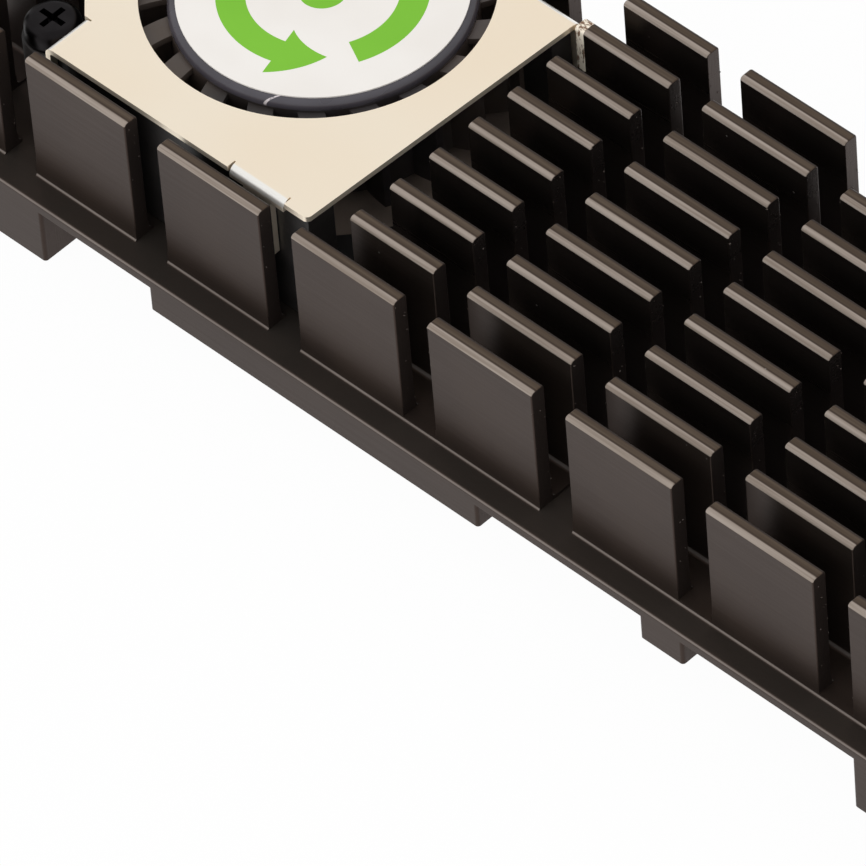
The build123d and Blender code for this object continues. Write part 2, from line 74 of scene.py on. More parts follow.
# The blower: radii about the rotor's axis, the underside of the cover, and the stator
AXIS = (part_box("hub_label")[0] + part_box("hub_label")[1]) / 2
INLET = 13.8 * MM
INLET_AWAY = Vector((-0.3, -0.2)) * MM
HUB = 12.0 * MM
CAVITY = 15.4 * MM
COVER = 18.2 * MM
COIL_START = 4.63 * MM
COIL_THICKNESS = 1.1 * MM
COILS = 4
COIL_TURNS = 10
COIL_CORNER = 0.5 * MM
BLOCK_CORNER = 0.2 * MM
WIRE = 0.3 * MM
ARM_WIDTH = 2.6 * MM
ARM_HEIGHT = 4.6 * MM
CORE_SHEETS = 9

# The label: a ring of arrows round a dot. Shaft and head end at these shares of an arrow's own span
ARROWS = 3
ARROW_START = 3.22
ARROW_RING = 7.1 * MM
SHAFT_HALF = 1.15 * MM
HEAD_HALF = 2.5 * MM
SHAFT_END = 0.6
HEAD_END = 0.86
DOT = 1.9 * MM

# Marks on the rotor at rest, in degrees about its axis: a small pale mark on the rim, which leans by
# degrees a millimetre outwards, and the side on which the blades are painted in shade
BRIGHT_MARK_ANGLE = 67.5
BRIGHT_MARK_LEAN = 7.5
SHADED_SIDE = -45

# The long lens that the photograph was taken with, in millimetres and degrees
LENS = 535.91
SENSOR = 36
DISTANCE = 965.63
TURN, TILT, ROLL = 47.661, 46.862, -4.981
AIM = Vector((-5.4, -0.625, 18.8))
ASIDE = 11.361
BELOW = 17.483


def tone(red, green, blue):
    """A screen colour, 0 to 255, as the renderer's linear colour."""
    def linear(part):
        part /= 255
        return part / 12.92 if part <= 0.04045 else ((part + 0.055) / 1.055) ** 2.4
    return (linear(red), linear(green), linear(blue), 1)


def stand_camera():
    """A long lens that looks down on the front long edge from the side away from the blower."""
    turn, tilt, roll = radians(TURN), radians(TILT), radians(ROLL)
    back = Vector((sin(turn) * cos(tilt), -cos(turn) * cos(tilt), sin(tilt)))
    level = Vector((cos(turn), sin(turn), 0))
    upright = back.cross(level)
    right = level * cos(roll) + upright * sin(roll)
    up = upright * cos(roll) - level * sin(roll)
    place = (AIM - right * ASIDE - up * BELOW + back * DISTANCE) * MM
    camera = bpy.data.objects.new("camera", bpy.data.cameras.new("camera"))
    camera.data.sensor_width = SENSOR
    camera.data.lens = LENS
    camera.data.clip_end = 20
    camera.matrix_world = Matrix((right, up, back)).transposed().to_4x4()
    camera.location = place
    bpy.context.scene.collection.objects.link(camera)
    bpy.context.scene.camera = camera


class Signal:
    """A value in a node tree. Sums, products and tests of signals add Math nodes."""

    def __init__(self, tree, socket):
        self.tree = tree
        self.socket = socket

    def maths(self, operation, *values):
        """Adds a Math node; the values may be signals or numbers."""
        return self.tree.node("ShaderNodeMath", {"operation": operation}, dict(enumerate(values)))

    def __add__(self, other):
        return self.maths("ADD", self, other)

    def __radd__(self, other):
        return self.maths("ADD", other, self)

    def __sub__(self, other):
        return self.maths("SUBTRACT", self, other)

    def __rsub__(self, other):
        return self.maths("SUBTRACT", other, self)

    def __mul__(self, other):
        return self.maths("MULTIPLY", self, other)

    def __rmul__(self, other):
        return self.maths("MULTIPLY", other, self)

    def __truediv__(self, other):
        return self.maths("DIVIDE", self, other)

    def __mod__(self, other):
        return self.maths("FLOORED_MODULO", self, other)

    def __neg__(self):
        return self.maths("MULTIPLY", self, -1)

    def __abs__(self):
        return self.maths("ABSOLUTE", self)

    def __lt__(self, other):
        return self.maths("LESS_THAN", self, other)

    def __gt__(self, other):
        return self.maths("GREATER_THAN", self, other)

    def root(self):
        return self.maths("SQRT", self)

    def angle(self, across):
        return self.maths("ARCTAN2", self, across)

    def ramp(self, low, high):
        """0 below low, 1 above high, and smooth between them."""
        return self.tree.node("ShaderNodeMapRange", {"interpolation_type": "SMOOTHSTEP"},
                              {0: self, 1: low, 2: high})

    def floor(self):
        return self.maths("FLOOR", self)

    def least(self, other):
        return self.maths("MINIMUM", self, other)

    def most(self, other):
        return self.maths("MAXIMUM", self, other)


def outward(mesh):
    """Turns the faces of every closed shell in a mesh outwards."""
    work = bmesh.new()
    work.from_mesh(mesh)
    bmesh.ops.recalc_face_normals(work, faces=work.faces)
    work.to_mesh(mesh)
    work.free()


class Tree:
    """A node tree that is written as expressions."""

    def __init__(self, tree):
        self.tree = tree

    def node(self, kind, settings=None, sockets=None, output=0):
        """Adds a node: its settings first, then the values or links of its sockets."""
        node = self.tree.nodes.new(kind)
        for name, value in (settings or {}).items():
            setattr(node, name, value)
        for name, value in (sockets or {}).items():
            if isinstance(value, Signal):
                self.tree.links.new(value.socket, node.inputs[name])
            elif isinstance(value, list):
                for part in value:
                    self.tree.links.new(part.socket, node.inputs[name])
            else:
                node.inputs[name].default_value = value
        return Signal(self, node.outputs[output]) if node.outputs else None

    def parts(self, vector):
        """The three parts of a vector."""
        split = self.node("ShaderNodeSeparateXYZ", None, {0: vector})
        return [Signal(self, socket) for socket in split.socket.node.outputs]


class Rule(Tree):
    """A shape that follows a rule: a geometry tree with named sizes, kept as a plain mesh."""

    def __init__(self, name, **sizes):
        super().__init__(bpy.data.node_groups.new(name, "GeometryNodeTree"))
        ports = self.tree.interface
        ports.new_socket("Shape", in_out="INPUT", socket_type="NodeSocketGeometry")
        self.inputs = {}
        for label, value in sizes.items():
            kind = "NodeSocketInt" if isinstance(value, int) else "NodeSocketFloat"
            port = ports.new_socket(label.replace("_", " "), in_out="INPUT", socket_type=kind)
            self.inputs[port.identifier] = value
        ports.new_socket("Shape", in_out="OUTPUT", socket_type="NodeSocketGeometry")
        entry = self.tree.nodes.new("NodeGroupInput")
        self.shape = Signal(self, entry.outputs[0])
        for number, label in enumerate(sizes, 1):
            setattr(self, label, Signal(self, entry.outputs[number]))

    def vector(self, x=0.0, y=0.0, z=0.0):
        return self.node("ShaderNodeCombineXYZ", None, {0: x, 1: y, 2: z})

    def index(self):
        return self.node("GeometryNodeInputIndex")

    def random(self, low, high, seed):
        return self.node("FunctionNodeRandomValue", {"data_type": "FLOAT"},
                         {2: low, 3: high, 8: seed}, 1)

    def points(self, count, place):
        return self.node("GeometryNodePoints", None, {"Count": count, "Position": place})

    def line(self, count, start, step):
        return self.node("GeometryNodeMeshLine", None,
                         {"Count": count, "Start Location": start, "Offset": step})

    def rectangle(self, width, height):
        return self.node("GeometryNodeCurvePrimitiveQuadrilateral", {"mode": "RECTANGLE"},
                         {"Width": width, "Height": height})

    def swept(self, path, corner, profile):
        """A profile carried round a path whose corners are filleted."""
        path = self.node("GeometryNodeFilletCurve", {"mode": "POLY"},
                         {"Curve": path, "Radius": corner, "Count": 2})
        return self.node("GeometryNodeCurveToMesh", None, {"Curve": path, "Profile Curve": profile})

    def moved(self, shape, move=(0, 0, 0), turn=(0, 0, 0)):
        return self.node("GeometryNodeTransform", None,
                         {"Geometry": shape, "Translation": move, "Rotation": turn})

    def copies(self, points, shape, **sockets):
        return self.node("GeometryNodeInstanceOnPoints", None,
                         {"Points": points, "Instance": shape, **sockets})

    def joined(self, *shapes):
        return self.node("GeometryNodeJoinGeometry", None, {0: list(shapes)})

    def grown(self, name, shape, slot, start=None):
        """Runs the rule once on a starting mesh, and returns the mesh that it makes."""
        whole = self.node("GeometryNodeRealizeInstances", None, {0: shape})
        coated = self.node("GeometryNodeSetMaterial", None,
                           {"Geometry": whole, "Material": FINISHES[slot]})
        self.node("NodeGroupOutput", None, {0: coated})
        holder = bpy.data.objects.new(name, start or bpy.data.meshes.new(name))
        bpy.context.scene.collection.objects.link(holder)
        modifier = holder.modifiers.new("rule", "NODES")
        modifier.node_group = self.tree
        for identifier, value in self.inputs.items():
            modifier[identifier] = value
        ready = holder.evaluated_get(bpy.context.evaluated_depsgraph_get())
        mesh = bpy.data.meshes.new_from_object(ready)
        holder.modifiers.remove(modifier)
        used = holder.data
        bpy.data.objects.remove(holder)
        bpy.data.meshes.remove(used)
        outward(mesh)
        mesh.name = name
        return mesh


class Finish(Tree):
    """A procedural material."""

    def __init__(self, name):
        self.material = bpy.data.materials.new(name)
        self.material.use_nodes = True
        super().__init__(self.material.node_tree)
        self.tree.nodes.clear()
        self.object_place = None

    def place(self):
        """Where a point is on the piece, in metres."""
        if self.object_place is None:
            self.object_place = self.node("ShaderNodeTexCoord", output=3)
        return self.object_place

    def axes(self):
        """The three parts of the place."""
        return self.parts(self.place())

    def facing(self):
        """The three parts of the surface's own normal."""
        return self.parts(self.node("ShaderNodeTexCoord", output=1))

    def about(self, x, y, middle=AXIS):
        """Distance from an upright axis, and the turn about it, in radians."""
        away_x = x - middle.x
        away_y = y - middle.y
        return (away_x * away_x + away_y * away_y).root(), away_y.angle(away_x)

    def mapped(self, scale, turn=(0, 0, 0)):
        """The place, stretched by a scale along each axis."""
        return self.node("ShaderNodeMapping", None, {0: self.place(), 2: turn, 3: scale})

    def noise(self, vector, detail=3.0, roughness=0.55):
        return self.node("ShaderNodeTexNoise", None,
                         {"Vector": vector, "Scale": 1.0, "Detail": detail, "Roughness": roughness})

    def specks(self, vector):
        """Distance to the nearest of many scattered points."""
        return self.node("ShaderNodeTexVoronoi", None, {"Vector": vector, "Scale": 1.0})

    def mix(self, share, first, second):
        return self.node("ShaderNodeMix", {"data_type": "RGBA"}, {0: share, 6: first, 7: second}, 2)

    def bump(self, height, depth):
        return self.node("ShaderNodeBump", None, {"Height": height, "Distance": depth, "Strength": 1.0})

    def surface(self, **sockets):
        """Closes the material with one Principled shader and returns it."""
        named = {name.replace("_", " "): value for name, value in sockets.items()}
        shader = self.node("ShaderNodeBsdfPrincipled", None, named)
        self.node("ShaderNodeOutputMaterial", None, {0: shader})
        return self.material


def black_anodised():
    """Drawn and anodised aluminium: faint die lines along the rows, with wear and a painted highlight
    on round edges, painted shade between the fins and painted light deep in the channels.
    """
    f = Finish("black_anodised")
    side, front, level = f.facing()
    x, y, z = f.axes()
    die_lines = f.noise(f.mapped((60, 2600, 2600)), 4.0)
    clouds = f.noise(f.mapped((110, 110, 110)), 3.0)
    grain = f.noise(f.mapped((5200, 5200, 5200)), 2.0)
    saw_lines = f.noise(f.mapped((900, 9000, 500), turn=(0.35, 0, 0)), 3.0)
    on_crown = level.ramp(0.12, 0.3) * (z > FIN_TOP - 0.4 * MM)
    on_end = abs(side).ramp(0.7, 0.95)
    tilted = level.ramp(0.25, 0.5) * (1 - level.ramp(0.75, 0.97))
    across = ((y - FIRST_Y) % PITCH_Y) / MM
    low_ledge = level.ramp(0.9, 0.98) * (z < CHANNEL)
    behind_front = y.ramp(FIRST_Y + 2 * MM, FIRST_Y + 8 * MM)
    # Behind the front row, the fins' upright faces are darkened towards their tops: painted shade
    # between the fins.
    shade_between_fins = behind_front * (1 - level.ramp(0.2, 0.4)) * z.ramp(12 * MM, 17 * MM)
    # Rounded edges are painted paler: wear, and a painted highlight.
    wear_and_highlight = tilted * (1 - on_crown) * (0.5 + 0.7 * clouds)
    base = f.mix(clouds.ramp(0.35, 0.65), tone(34, 29, 26), tone(40, 34, 30))
    base = f.mix(low_ledge * 0.5, base, tone(50, 48, 45))
    base = f.mix(shade_between_fins * 0.75, base, tone(15, 13, 12))
    # Behind the front row and low in the channels the colour turns paler: dust settled there, and
    # painted light where little light reaches.
    deep_dust_and_light = y.ramp(FIRST_Y + 3 * MM, FIRST_Y + 9 * MM) * (1 - z.ramp(9 * MM, 15.5 * MM))
    base = f.mix(deep_dust_and_light * 0.8, base, tone(66, 60, 58))
    base = f.mix(on_end * 0.5, base, tone(38, 34, 33))
    # Across each crown: the front rounding is painted pale as a highlight, the drawn top follows, and
    # the back rounding is painted dark as shade.
    front_rounding_highlight = f.mix(die_lines.ramp(0.3, 0.65), tone(124, 114, 104), tone(156, 146, 137))
    drawn = f.mix(die_lines.ramp(0.35, 0.7), tone(58, 50, 40), tone(78, 69, 58))
    crown = f.mix(across.ramp(0.38, 0.5), front_rounding_highlight, tone(46, 40, 34))
    crown = f.mix(across.ramp(0.56, 0.66), crown, drawn)
    crown = f.mix(across.ramp(1.0, 1.14), crown, tone(26, 23, 21))
    base = f.mix(on_crown * (1 - on_end), base, crown)
    base = f.mix(wear_and_highlight, base, tone(126, 119, 114))
    flakes = f.noise(f.mapped((2200, 2200, 1000)), 3.0, 0.7)
    along_spur = abs(x - POCKET_RIGHT + SPUR * 0.55) < SPUR * 0.45
    on_spur = along_spur * (abs(y - SPUR_MIDDLE) < FIN_THICKNESS * 0.52)
    # High on the spur beside the pocket, flakes of bare metal are painted near white: chipped anodising
    # with a painted reflection.
    bare_and_glint = on_spur * (z.ramp(14 * MM, 15 * MM) + flakes - 0.5).ramp(0.4, 0.5)
    base = f.mix(bare_and_glint, base, f.mix(flakes.ramp(0.4, 0.55), tone(120, 92, 72), tone(250, 240, 222)))
    dust = (f.specks(f.mapped((420, 420, 420))) < 0.035) * clouds.ramp(0.5, 0.6)
    base = f.mix(dust * 0.6, base, tone(150, 146, 142))
    rough = 0.4 + 0.12 * (die_lines - 0.5) + 0.06 * on_end + 0.3 * dust - 0.2 * shade_between_fins
    height = die_lines * (1 - on_end) + saw_lines * on_end + 0.35 * grain
    normal = f.bump(height, 0.012 * MM)
    return f.surface(Base_Color=base, Roughness=rough, Normal=normal, IOR=1.43,
                     Specular_Tint=(1, 0.62, 0.48, 1))


def champagne_sheet():
    """Rolled and anodised sheet, painted near white on its bends as a highlight, with a darker
    gold-brown painted reflection on the sheared edge round the inlet.
    """
    f = Finish("champagne_sheet")
    x, y, z = f.axes()
    level = f.facing()[2]
    radius = f.about(x, y, AXIS.xy + INLET_AWAY)[0]
    rolled = f.noise(f.mapped((70, 3200, 3200), turn=(0, 0, 0.7)), 3.0)
    clouds = f.noise(f.mapped((45, 45, 45)), 2.0)
    base = f.mix(clouds.ramp(0.3, 0.7), tone(254, 238, 214), tone(255, 243, 223))
    # The bends of the sheet are painted near white: a painted highlight.
    fold_highlight = level.ramp(0.1, 0.35) * (1 - level.ramp(0.93, 0.99)) * (radius > INLET + MM)
    base = f.mix(fold_highlight, base, tone(255, 253, 248))
    # The sheared edge round the inlet is painted a darker gold-brown: a painted reflection on the edge.
    sheared_edge_reflection = (radius < INLET + 0.06 * MM) * (1 - level.ramp(0.6, 0.9))
    base = f.mix(sheared_edge_reflection, base, tone(172, 128, 78))
    rough = 0.33 + 0.1 * (rolled - 0.5) + 0.12 * sheared_edge_reflection
    return f.surface(Base_Color=base, Metallic=0.75, Roughness=rough,
                     Normal=f.bump(rolled, 0.004 * MM))


def fan_moulding():
    """Black moulded plastic of the blower's frame, with grey dust settled in the cavity, where it is
    also painted paler as light.
    """
    f = Finish("black_moulding")
    x, y, z = f.axes()
    radius = f.about(x, y)[0]
    grain = f.noise(f.mapped((2600, 2600, 2600)), 3.0, 0.6)
    flow = f.noise(f.mapped((160, 160, 420)), 3.0)
    base = f.mix(flow.ramp(0.3, 0.75), tone(34, 32, 31), tone(46, 43, 42))
    inside = (radius < CAVITY) * (z > LEDGE + 1.2 * MM) * (z < COVER - 0.02 * MM)
    # Pale grey over the cavity's faces: dust settled there, and painted light inside the cavity.
    settled_dust_and_light = inside * (0.55 + 0.45 * flow.ramp(0.3, 0.7))
    base = f.mix(settled_dust_and_light, base, tone(150, 134, 122))
    rough = 0.48 + 0.14 * (flow - 0.5) + 0.35 * settled_dust_and_light
    return f.surface(Base_Color=base, Roughness=rough, Normal=f.bump(grain, 0.02 * MM))


def impeller_plastic():
    """Semi-gloss black plastic of the impeller, painted a bluish grey as its sheen, dusty and painted
    paler between the blades, with painted shade on one side.
    """
    f = Finish("glossy_black")
    x, y, z = f.axes()
    radius, turn = f.about(x, y)
    grain = f.noise(f.mapped((1500, 1500, 1500)), 3.0, 0.6)
    flow = f.noise(f.mapped((160, 160, 420)), 3.0)
    # The black plastic is painted a bluish grey: a painted sheen.
    base = f.mix(flow.ramp(0.3, 0.75), tone(65, 62, 68), tone(77, 74, 81))
    turn = turn * (180 / pi)
    # A small pale mark on the rim of the hub, turning with the rotor.
    bright_mark = abs(turn + BRIGHT_MARK_ANGLE + (radius - HUB) * (BRIGHT_MARK_LEAN / MM)) < 0.6
    base = f.mix(bright_mark * (z > COVER - 0.6 * MM) * grain.ramp(0.25, 0.45), base, tone(214, 206, 208))
    # Between the blades the plastic is painted paler: dust, and painted light. On the side nearest the
    # front it stays dark: painted shade.
    dust_and_light = (radius > HUB - 0.05 * MM) * (z < COVER - 0.5 * MM) * (0.65 + 0.35 * flow.ramp(0.3, 0.7))
    dust_tone_and_shade = f.mix(abs(turn - SHADED_SIDE).ramp(35, 60), tone(46, 41, 39), tone(82, 71, 62))
    base = f.mix(dust_and_light, base, dust_tone_and_shade)
    rough = 0.27 + 0.12 * (flow - 0.5) + 0.25 * dust_and_light
    return f.surface(Base_Color=base, Roughness=rough, Normal=f.bump(grain, 0.006 * MM))


def moulded(name, colour, shine, texture, depth):
    """Moulded plastic or rubber: a spark-eroded texture and faint flow marks."""
    f = Finish(name)
    grain = f.noise(f.mapped((texture, texture, texture)), 3.0, 0.6)
    flow = f.noise(f.mapped((160, 160, 420)), 3.0)
    paler = tone(*[min(255, part * 1.35 + 6) for part in colour])
    base = f.mix(flow.ramp(0.3, 0.75) * 0.35, tone(*colour), paler)
    rough = shine + 0.14 * (flow - 0.5)
    return f.surface(Base_Color=base, Roughness=rough, Normal=f.bump(grain, depth))


def printed_label():
    """White film with three plain arrows that show the sense of rotation, and a dot."""
    f = Finish("label_film")
    x, y, z = f.axes()
    radius, turn = f.about(x, y)
    along = (turn * (ARROWS / tau) + ARROW_START) % 1.0
    shaft = (along < SHAFT_END) * SHAFT_HALF
    narrowing = (HEAD_END - along) * (HEAD_HALF / (HEAD_END - SHAFT_END))
    head = (along > SHAFT_END) * (along < HEAD_END) * narrowing
    arrows = abs(radius - ARROW_RING) < shaft + head
    dot = radius < DOT
    print_mask = 1 - (1 - arrows) * (1 - dot)
    paper = f.noise(f.mapped((900, 900, 900)), 3.0)
    clouds = f.noise(f.mapped((120, 120, 120)), 2.0)
    white = f.mix(clouds.ramp(0.3, 0.7), tone(238, 233, 227), tone(243, 239, 234))
    green = f.mix(clouds.ramp(0.3, 0.7), tone(116, 188, 30), tone(121, 193, 36))
    base = f.mix(print_mask, white, green)
    rough = 0.42 + 0.12 * (paper - 0.5) - 0.06 * print_mask
    height = 0.3 * paper + print_mask
    return f.surface(Base_Color=base, Roughness=rough, Normal=f.bump(height, 0.006 * MM))


def metal(name, colour, shine, scale, depth=0.004 * MM, spots=None):
    """Bare or plated metal with fine lines along one way."""
    f = Finish(name)
    lines = f.noise(f.mapped(scale), 4.0)
    clouds = f.noise(f.mapped((380, 380, 380)), 3.0)
    paler = tone(*[min(255, part * 1.12 + 4) for part in colour])
    base = f.mix(clouds.ramp(0.3, 0.7), tone(*colour), paler)
    if spots:
        stain = clouds.ramp(0.55, 0.72)
        base = f.mix(stain * 0.5, base, tone(*spots))
    rough = shine + 0.16 * (lines - 0.5)
    return f.surface(Base_Color=base, Metallic=1.0, Roughness=rough, Normal=f.bump(lines, depth))


def core_sheets():
    """Stamped steel sheets stacked along the shaft."""
    f = Finish("core_laminations")
    z = f.axes()[2]
    seam = (z / (0.5 * MM)) % 1.0 < 0.16
    rust = f.noise(f.mapped((700, 700, 1500)), 4.0)
    base = f.mix(rust.ramp(0.35, 0.7), tone(120, 120, 124), tone(104, 98, 92))
    base = f.mix(seam * 0.7, base, tone(48, 44, 42))
    return f.surface(Base_Color=base, Metallic=0.9, Roughness=0.42 + 0.2 * rust,
                     Normal=f.bump(1 - seam, 0.03 * MM))


def board_laminate():
    """Green solder mask over copper areas, with a ring of small pads."""
    f = Finish("board_laminate")
    x, y, z = f.axes()
    radius, turn = f.about(x, y)
    radius = radius / MM
    turn = (turn * (16 / tau)) % 1.0
    track = (abs(radius - 5.2) < 0.16) + (abs(radius - 8.4) < 0.22)
    pad = (abs(radius - 8.4) < 0.45) * (abs(turn - 0.5) < 0.12)
    weave = f.noise(f.mapped((1600, 1600, 1600)), 2.0)
    base = f.mix(weave, tone(18, 74, 40), tone(24, 88, 48))
    base = f.mix((track > 0.5) * 0.7, base, tone(40, 120, 62))
    base = f.mix(pad, base, tone(196, 196, 190))
    return f.surface(Base_Color=base, Roughness=0.34 + 0.1 * weave, Metallic=pad * 0.8,
                     Normal=f.bump(track + pad, 0.02 * MM))


def winding_wire():
    """Enamelled copper wire, a little uneven from turn to turn."""
    f = Finish("enamelled_wire")
    clouds = f.noise(f.mapped((900, 900, 1900)), 3.0)
    base = f.mix(clouds.ramp(0.3, 0.7), tone(168, 92, 50), tone(196, 116, 66))
    return f.surface(Base_Color=base, Metallic=0.85, Roughness=0.26 + 0.12 * clouds,
                     Coat_Weight=0.5, Coat_Roughness=0.1)


def floor_paint():
    """Matt white floor; it looks white past the object and keeps the soft shadow."""
    f = Finish("floor_paint")
    seen = f.node("ShaderNodeLightPath", output=0)
    mirrored = f.node("ShaderNodeLightPath", output=3)
    through = f.node("ShaderNodeLightPath", output=6)
    grain = f.noise(f.mapped((400, 400, 400)), 2.0)
    base = f.mix(grain, tone(236, 236, 236), tone(240, 240, 240))
    direct = f.node("ShaderNodeBsdfDiffuse", None, {"Color": base})
    white = f.node("ShaderNodeEmission", None, {"Color": (1, 1, 1, 1), "Strength": 1.0})
    share = (seen * 0.97).most(mirrored.most(through) * 0.93)
    blend = f.node("ShaderNodeMixShader", None, {0: share, 1: direct, 2: white})
    f.node("ShaderNodeOutputMaterial", None, {0: blend})
    return f.material


stand_camera()
FINISHES = {
    "black_anodised": black_anodised(),
    "champagne_sheet": champagne_sheet(),
    "black_moulding": fan_moulding(),
    "glossy_black": impeller_plastic(),
    "label_film": printed_label(),
    "black_steel": metal("black_steel", (34, 32, 33), 0.34, (900, 900, 3000)),
    "pressed_steel": metal("pressed_steel", (176, 176, 180), 0.3, (600, 600, 3600)),
    "ground_steel": metal("ground_steel", (206, 206, 210), 0.14, (900, 900, 9000)),
    "magnet_rubber": moulded("magnet_rubber", (52, 48, 48), 0.62, 2200, 0.02 * MM),
    "white_nylon": moulded("white_nylon", (226, 222, 212), 0.44, 1500, 0.008 * MM),
    "sintered_bronze": metal("sintered_bronze", (150, 112, 64), 0.4, (2600, 2600, 2600), 0.01 * MM,
                             (88, 62, 36)),
    "core_laminations": core_sheets(),
    "enamelled_wire": winding_wire(),
    "board_laminate": board_laminate(),
    "chip_resin": moulded("chip_resin", (36, 36, 38), 0.55, 3000, 0.01 * MM),
    "capacitor_tan": moulded("capacitor_tan", (168, 138, 100), 0.5, 2400, 0.01 * MM),
}
SLOT_OF = {part["node"]: part["material_slot"] for part in frame["record"]["subparts"]}
BODIES = frame["record"]["behaviour"]["bodies"]
BODY_OF = {name: body for body, names in BODIES.items() for name in names}


def welded(node):
    """A node's triangles, joined into one shell."""
    work = bmesh.new()
    work.from_mesh(frame["nodes"][node].data)
    bmesh.ops.remove_doubles(work, verts=work.verts, dist=WELD)
    return work


def is_corner(edge):
    return edge.calc_face_angle(0) > radians(CORNER_ANGLE)


def round_corners(work, width, corners=None):
    """Rounds the sharp corners of a shell, or the ones named."""
    if corners is None:
        bmesh.ops.dissolve_limit(work, angle_limit=radians(0.4), verts=work.verts, edges=work.edges)
        corners = [edge for edge in work.edges if is_corner(edge)]
    bmesh.ops.bevel(work, geom=corners, offset=width, offset_type="OFFSET", segments=3, profile=0.5,
                    affect="EDGES", clamp_overlap=True, loop_slide=True, material=-1)


def smooth_between_corners(work):
    for face in work.faces:
        face.smooth = True
    for edge in work.edges:
        edge.smooth = not is_corner(edge)


def mesh_of(work, name):
    """Turns a finished shell into a mesh, without the normals that the file stored."""
    mesh = bpy.data.meshes.new(name)
    work.to_mesh(mesh)
    work.free()
    if "custom_normal" in mesh.attributes:
        mesh.attributes.remove(mesh.attributes["custom_normal"])
    return mesh


def piece_of(mesh, body, slot, nodes=()):
    """Puts a mesh in the scene as a piece that rides on a body and stands for the nodes named."""
    mesh.materials.clear()
    mesh.materials.append(FINISHES[slot])
    piece = bpy.data.objects.new(mesh.name, mesh)
    bpy.context.scene.collection.objects.link(piece)
    flat = piece.modifiers.new("flat_faces", "WEIGHTED_NORMAL")
    flat.weight = 100
    flat.keep_sharp = True
    for node in nodes:
        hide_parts(node)
    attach(piece, body)
    return piece


def dressed(node, width=0):
    """A node's own shell, with its corners rounded by a width, shaded smooth between them."""
    work = welded(node)
    if width:
        round_corners(work, width)
    smooth_between_corners(work)
    return piece_of(mesh_of(work, node + "_dressed"), BODY_OF[node], SLOT_OF[node], [node])


def sink_base():
    """The heat sink up to the level where the fins leave their roots."""
    work = welded("heat_sink")
    cut = bmesh.ops.bisect_plane(work, geom=[*work.verts, *work.edges, *work.faces], clear_outer=True,
                                 plane_co=(0, 0, FIN_CUT), plane_no=(0, 0, 1))
    rims = [part for part in cut["geom_cut"] if isinstance(part, bmesh.types.BMEdge)]
    bmesh.ops.edgenet_fill(work, edges=rims)
    bmesh.ops.recalc_face_normals(work, faces=work.faces)
    smooth_between_corners(work)
    return mesh_of(work, "sink_base")


def single_fin():
    """One fin about its own middle: round tips along it, sawn corners eased at both ends."""
    half = FIN_THICKNESS / 2
    steps = [radians(90) * step / 4 for step in range(5)]
    arc = [(half - TIP_RADIUS * (1 - cos(a)), FIN_TOP - TIP_RADIUS * (1 - sin(a))) for a in steps]
    outline = [(-half, FIN_CUT), (half, FIN_CUT), *arc, *[(-y, z) for y, z in reversed(arc)]]
    work = bmesh.new()
    reach = FIN_LENGTH / 2
    near, far = [[work.verts.new((x, y, z)) for y, z in outline] for x in (-reach, reach)]
    work.faces.new(near)
    work.faces.new(far)
    for this in range(len(outline)):
        work.faces.new((near[this], near[this - 1], far[this - 1], far[this]))
    bmesh.ops.recalc_face_normals(work, faces=work.faces)
    work.normal_update()
    ends = []
    for edge in work.edges:
        one, other = (vert.co for vert in edge.verts)
        if is_corner(edge) and abs(one.x - other.x) < WELD and max(one.z, other.z) > FIN_CUT + WELD:
            ends.append(edge)
    round_corners(work, SAWN_CORNER, ends)
    smooth_between_corners(work)
    return mesh_of(work, "single_fin")


def field_of_fins():
    """Rows and columns of fins, cut back where the pocket for the blower takes them."""
    pattern = bpy.data.objects.new("fin_pattern", single_fin())
    bpy.context.scene.collection.objects.link(pattern)
    r = Rule("field_of_fins", Columns=9, Rows=9, Column_pitch=PITCH_X, Row_pitch=PITCH_Y,
             Fin_length=FIN_LENGTH, First_start=FIRST_X, First_row=FIRST_Y + FIN_THICKNESS / 2,
             Pocket_left=POCKET_LEFT, Pocket_right=POCKET_RIGHT, Spur_row=SPUR_ROW, Spur=SPUR,
             Stub_start=STUB_START, Stub_length=STUB_LENGTH)
    column = (r.index() / r.Rows).floor()
    row = r.index() % r.Rows
    start = r.First_start + column * r.Column_pitch
    end = start + r.Fin_length
    behind = row > 0.5
    outside = start < r.Pocket_left
    right = r.Pocket_right - r.Spur * (abs(row - r.Spur_row) < 0.5)
    start_cut = start + behind * (1 - outside) * (start.most(right) - start)
    end_cut = end - behind * outside * (end - end.least(r.Pocket_left))
    middle = r.vector((start_cut + end_cut) * 0.5, r.First_row + row * r.Row_pitch)
    points = r.points(r.Columns * r.Rows, middle)
    fin = r.node("GeometryNodeObjectInfo", None, {"Object": pattern}, 4)
    share = (end_cut - start_cut) / r.Fin_length
    fins = r.copies(points, fin, Selection=share > 0.02, Scale=r.vector(share, 1, 1))
    back = r.vector(r.Stub_start + r.Stub_length * 0.5, r.First_row + (r.Rows - 1) * r.Row_pitch)
    stub = r.copies(r.points(1, back), fin, Scale=r.vector(r.Stub_length / r.Fin_length, 1, 1))
    mesh = r.grown("field_of_fins", r.joined(fins, stub), "black_anodised")
    bpy.data.objects.remove(pattern)
    return mesh


